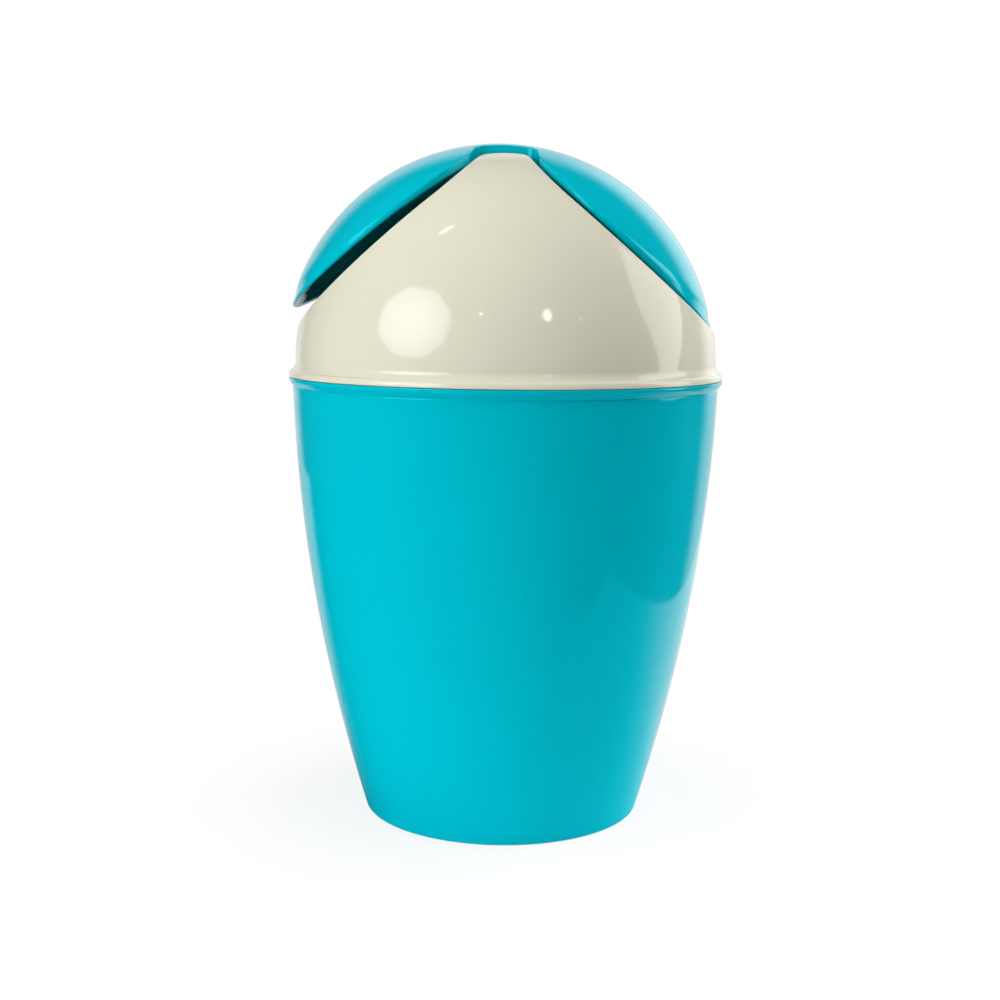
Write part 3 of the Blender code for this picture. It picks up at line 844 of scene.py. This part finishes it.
def polypropylene(name, colour, deeper, gloss_tint, marked_and_shaded):
    """Glossy injection-moulded polypropylene, from a polished steel mould: an even pigment with slow drifts
    of a few percent, a smooth waxy gloss whose edge wavers over centimetres as the wall shrinks, and a very
    fine orange peel.  The pale one is marked: it shows its specks, the sink of its web and a patch of painted
    shade."""
    made, tree = bare_material(name)
    place = add(tree, "ShaderNodeTexCoord").outputs["Object"]
    drift = add(tree, "ShaderNodeTexNoise", {"Scale": 1 / DRIFT_SPACING, "Detail": 3, "Roughness": 0.5},
                Vector=place)
    pigment = add(tree, "ShaderNodeMix", {"data_type": "RGBA", 6: srgb(deeper), 7: srgb(colour)},
                  Factor=drift.outputs["Fac"])
    shade = pigment.outputs[2]
    haze = add(tree, "ShaderNodeTexNoise", {"Scale": 1 / HAZE_SPACING, "Detail": 4}, Vector=place)
    smoothest, roughest = (PLASTIC_ROUGHNESS * share for share in ROUGHNESS_SHARES)
    gloss = add(tree, "ShaderNodeMapRange", {"To Min": smoothest, "To Max": roughest},
                Value=haze.outputs["Fac"])
    shrink = add(tree, "ShaderNodeTexNoise", {"Scale": 1 / SHRINK_SPACING, "Detail": 1}, Vector=place)
    slow = add(tree, "ShaderNodeBump", {"Strength": 1.0, "Distance": SHRINK_DEPTH},
               Height=shrink.outputs["Fac"])
    peel = add(tree, "ShaderNodeTexNoise", {"Scale": 1 / PEEL_SPACING, "Detail": 2}, Vector=place)
    fine = add(tree, "ShaderNodeBump", {"Strength": 1.0, "Distance": PEEL_DEPTH},
               Height=peel.outputs["Fac"], Normal=slow.outputs["Normal"])
    surface = fine.outputs["Normal"]
    if marked_and_shaded:
        shade = specks_and_painted_shade(tree, place, shade)
        web = add(tree, "ShaderNodeBump", {"Strength": 1.0, "Distance": SINK_DEPTH},
                  Height=web_sink(tree, place), Normal=surface)
        surface = web.outputs["Normal"]
    plastic = {"IOR": PLASTIC_IOR, "Metallic": 0.0, "Specular Tint": srgb(gloss_tint)}
    shader = add(tree, "ShaderNodeBsdfPrincipled", plastic, Base_Color=shade,
                 Roughness=gloss.outputs["Result"], Normal=surface)
    add(tree, "ShaderNodeOutputMaterial", None, Surface=shader.outputs["BSDF"])
    return made


def lamp_material(name, level, fall):
    """A glowing diffuser: its level falls towards the edge by the share fall, as behind a cloth."""
    made, tree = bare_material(name)
    place = add(tree, "ShaderNodeTexCoord").outputs["UV"]
    length = add(tree, "ShaderNodeVectorMath", {"operation": "LENGTH"}, Vector=place)
    bright = add(tree, "ShaderNodeMapRange",
                 {**SMOOTH, "From Min": EVEN_GLOW_SHARE, "To Min": level, "To Max": level * (1 - fall)},
                 Value=length.outputs["Value"])
    glow = add(tree, "ShaderNodeEmission", None, Strength=bright.outputs["Result"])
    add(tree, "ShaderNodeOutputMaterial", None, Surface=glow.outputs["Emission"])
    return made


def table_material():
    """A glowing sheet of painted light for a white laminate table top: painted shadow in front of a slanting
    line on the left, brighter to the right, and painted cyan bounce light from the bin in front.  It shows
    only in reflections."""
    made, tree = bare_material("white_laminate")
    place = add(tree, "ShaderNodeTexCoord").outputs["Object"]
    axes = add(tree, "ShaderNodeSeparateXYZ", None, Vector=place)
    # Painted light and shadow on the table: dark in front of a slanting line, brighter to the right
    slant = add(tree, "ShaderNodeMath", {"operation": "MULTIPLY_ADD", 1: TABLE_SLANT},
                _0=axes.outputs["X"], _2=axes.outputs["Y"])
    lit = add(tree, "ShaderNodeMapRange",
              {**SMOOTH, "From Min": TABLE_LIT_FROM, "From Max": TABLE_LIT_TO, "To Max": TABLE_LIT_LEVEL},
              Value=slant.outputs[0])
    right = add(tree, "ShaderNodeMapRange",
                {**SMOOTH, "From Min": TABLE_RIGHT_FROM, "From Max": TABLE_RIGHT_TO,
                 "To Max": TABLE_RIGHT_LEVEL}, Value=axes.outputs["X"])
    level = add(tree, "ShaderNodeMath", {"operation": "ADD"}, _0=lit.outputs[0], _1=right.outputs[0])
    # Painted cyan bounce light from the bin, fading to white behind it
    far = add(tree, "ShaderNodeMapRange",
              {**SMOOTH, "From Min": TABLE_BOUNCE_FROM, "From Max": TABLE_BOUNCE_TO}, Value=axes.outputs["Y"])
    tint = add(tree, "ShaderNodeMix", {"data_type": "RGBA", 6: srgb(TABLE_BOUNCE_TINT), 7: srgb(WHITE)},
               Factor=far.outputs[0])
    glow = add(tree, "ShaderNodeEmission", None, Color=tint.outputs[2], Strength=level.outputs[0])
    add(tree, "ShaderNodeOutputMaterial", None, Surface=glow.outputs["Emission"])
    return made


def floor_material():
    """Matt white paper.  To the camera it clears into the white background away from the object, so only the
    soft shadow around the foot is left."""
    made, tree = bare_material("white_paper")
    finish = {"Base Color": srgb(WHITE), "Roughness": PAPER_ROUGHNESS, "Specular IOR Level": 0.0,
              "Emission Color": srgb(WHITE), "Emission Strength": PAPER_GLOW}
    paper = add(tree, "ShaderNodeBsdfPrincipled", finish)
    place = add(tree, "ShaderNodeTexCoord").outputs["Object"]
    away = add(tree, "ShaderNodeVectorMath", {"operation": "LENGTH"}, Vector=place)
    fade = add(tree, "ShaderNodeMapRange",
               {**SMOOTH, "From Min": SHADOW_FULL_WITHIN, "From Max": SHADOW_GONE_BEYOND,
                "To Min": SHADOW_CLEAR_SHARE}, Value=away.outputs["Value"])
    path = add(tree, "ShaderNodeLightPath")
    clear = add(tree, "ShaderNodeMath", {"operation": "MULTIPLY"}, _0=fade.outputs["Result"],
                _1=path.outputs["Is Camera Ray"])
    glass = add(tree, "ShaderNodeBsdfTransparent")
    both = add(tree, "ShaderNodeMixShader", None, Fac=clear.outputs[0], _1=paper.outputs["BSDF"],
               _2=glass.outputs["BSDF"])
    add(tree, "ShaderNodeOutputMaterial", None, Surface=both.outputs[0])
    return made


# Stage, light and camera

def staged(name, mesh, material, unseen_by):
    """A piece of the studio, left out of the kinds of ray named in unseen_by."""
    piece = placed(name, mesh, material)
    for kind in unseen_by:
        setattr(piece, "visible_" + kind, False)


def flat_sheet(name, corners, height, material, unseen_by):
    """A level rectangle between two opposite corners."""
    (x0, y0), (x1, y1) = corners
    points = [(x0, y0, height), (x1, y0, height), (x1, y1, height), (x0, y1, height)]
    staged(name, meshed(name, points, [(0, 1, 2, 3)]), material, unseen_by)


def glowing_lamp(name, material, place, target, corners, first_turn, half_width, half_height):
    """A flat diffuser that faces the target: its corners lie at even turns on an ellipse round its middle,
    and its UV runs from 0 there to 1 at the corners.  It lights the object but casts no shadow."""
    turn = math.radians(first_turn) + np.arange(corners) * 2 * math.pi / corners
    edge = np.stack([half_width * np.cos(turn), half_height * np.sin(turn), 0 * turn], 1)
    faces = [(0, 1 + i, 1 + (i + 1) % corners) for i in range(corners)]
    mesh = meshed(name, np.concatenate([[[0, 0, 0]], edge]), faces)
    reach = edge[:, :2] / np.linalg.norm(edge, axis=1)[:, None]
    reach = np.concatenate([[[0, 0]], reach])[np.array(faces)]
    mesh.uv_layers.new(name="reach").data.foreach_set("uv", reach.ravel())
    look = (Vector(target) - Vector(place)).to_track_quat("Z", "Y").to_matrix().to_4x4()
    mesh.transform(Matrix.Translation(place) @ look)
    staged(name, mesh, material, ("camera", "shadow"))


def fill_lamp(name, place, target, width, height, watts):
    """A soft rectangular lamp that lights the object but shows in no reflection."""
    data = bpy.data.lights.new(name, "AREA")
    data.shape = "RECTANGLE"
    data.size = width
    data.size_y = height
    data.energy = watts
    lamp = bpy.data.objects.new(name, data)
    lamp.location = place
    lamp.rotation_euler = (Vector(target) - Vector(place)).to_track_quat("-Z", "Y").to_euler()
    lamp.visible_glossy = False
    bpy.context.scene.collection.objects.link(lamp)


def make_stage():
    """A white floor that keeps the shadow, and the white table top that the glossy walls mirror."""
    floor = ((-FLOOR_HALF, -FLOOR_HALF), (FLOOR_HALF, FLOOR_HALF))
    flat_sheet("floor", floor, -FLOOR_DROP, floor_material(), ("glossy",))
    flat_sheet("table_top", TABLE_CORNERS, -TABLE_DROP, table_material(), ("camera", "diffuse", "shadow"))


def make_world():
    """Light from all round: white to the camera, an even level on matt surfaces, and for reflections a white
    backdrop behind the object, brightest in one patch on the right, in an otherwise dark room."""
    world = bpy.data.worlds.new("studio")
    world.use_nodes = True
    bpy.context.scene.world = world
    tree = world.node_tree
    tree.nodes.clear()
    direction = add(tree, "ShaderNodeTexCoord").outputs["Generated"]
    behind = add(tree, "ShaderNodeVectorMath", {"operation": "DOT_PRODUCT", 1: BACKDROP_TOWARDS},
                 Vector=direction)
    room = add(tree, "ShaderNodeMapRange",
               {**SMOOTH, "From Min": BACKDROP_FROM, "From Max": BACKDROP_TO, "To Min": ROOM_LEVEL,
                "To Max": BACKDROP_LEVEL}, Value=behind.outputs["Value"])
    right = add(tree, "ShaderNodeVectorMath", {"operation": "DOT_PRODUCT", 1: PATCH_TOWARDS},
                Vector=direction)
    patch = add(tree, "ShaderNodeMapRange",
                {**SMOOTH, "From Min": PATCH_FROM, "From Max": PATCH_TO, "To Min": 1.0,
                 "To Max": PATCH_GAIN}, Value=right.outputs["Value"])
    room = add(tree, "ShaderNodeMath", {"operation": "MULTIPLY"}, _0=room.outputs[0], _1=patch.outputs[0])
    path = add(tree, "ShaderNodeLightPath")
    even = add(tree, "ShaderNodeMix", {"A": EVEN_LEVEL}, Factor=path.outputs["Is Glossy Ray"],
               B=room.outputs[0])
    level = add(tree, "ShaderNodeMix", {"B": 1.0}, Factor=path.outputs["Is Camera Ray"],
                A=even.outputs["Result"])
    glow = add(tree, "ShaderNodeBackground", {"Color": srgb(WHITE)}, Strength=level.outputs["Result"])
    add(tree, "ShaderNodeOutputWorld", None, Surface=glow.outputs["Background"])


def make_lamps():
    """The lamps that show in the gloss: an eight-sided softbox on the left, a small oval lamp, a strip
    overhead, two sparks and a tall pale panel on the right; and broad fills that show in no reflection."""
    for name, cloth, level, fall, *shape in GLOWING_LAMPS:
        glowing_lamp(name, lamp_material(cloth, level, fall), *shape)
    points = [(SIDE_PANEL_X, y, z) for y, z in SIDE_PANEL_CORNERS]
    panel = meshed("side_panel", points, [tuple(range(len(points)))])
    glow = lamp_material("pale_wall", SIDE_PANEL_LEVEL, 0)
    staged("side_panel", panel, glow, ("camera", "diffuse", "shadow"))
    for lamp in FILL_LAMPS:
        fill_lamp(*lamp)


def make_camera():
    """A long-normal lens a little above the rim, turned and rolled slightly, as the photograph was taken."""
    data = bpy.data.cameras.new("camera")
    data.lens = LENS_MM
    data.sensor_width = SENSOR_MM
    camera = bpy.data.objects.new("camera", data)
    turn = Matrix.Rotation(CAMERA_TURN, 4, "Z") @ Matrix.Rotation(CAMERA_TILT, 4, "X")
    turn = turn @ Matrix.Rotation(CAMERA_ROLL, 4, "Z")
    camera.matrix_world = Matrix.Translation(CAMERA_PLACE) @ turn
    bpy.context.scene.collection.objects.link(camera)
    bpy.context.scene.camera = camera
    bpy.context.scene.view_settings.view_transform = "Standard"


def main():
    """Build the three mouldings with their hinge, then the stage, lamps and camera."""
    turquoise = polypropylene("glossy_turquoise_polypropylene", TURQUOISE, TURQUOISE_DEEPER,
                              TURQUOISE_GLOSS, marked_and_shaded=False)
    cream = polypropylene("glossy_cream_polypropylene", CREAM, CREAM_DEEPER, WHITE, marked_and_shaded=True)

    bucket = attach(make_bucket(turquoise), "bucket")
    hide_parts("bucket")

    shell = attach(make_frame(cream), "frame")
    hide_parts("dome_frame")

    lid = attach(make_lid(turquoise), "lid")
    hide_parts("swing_lid")

    for side, name in ((-1, "front"), (1, "back")):
        for piece in (make_web(side, name, cream), make_pin(side, name, cream)):
            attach(piece, "frame")
        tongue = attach(make_tongue(side, name, turquoise), "lid")

    make_stage()
    make_world()
    make_lamps()
    make_camera()


main()
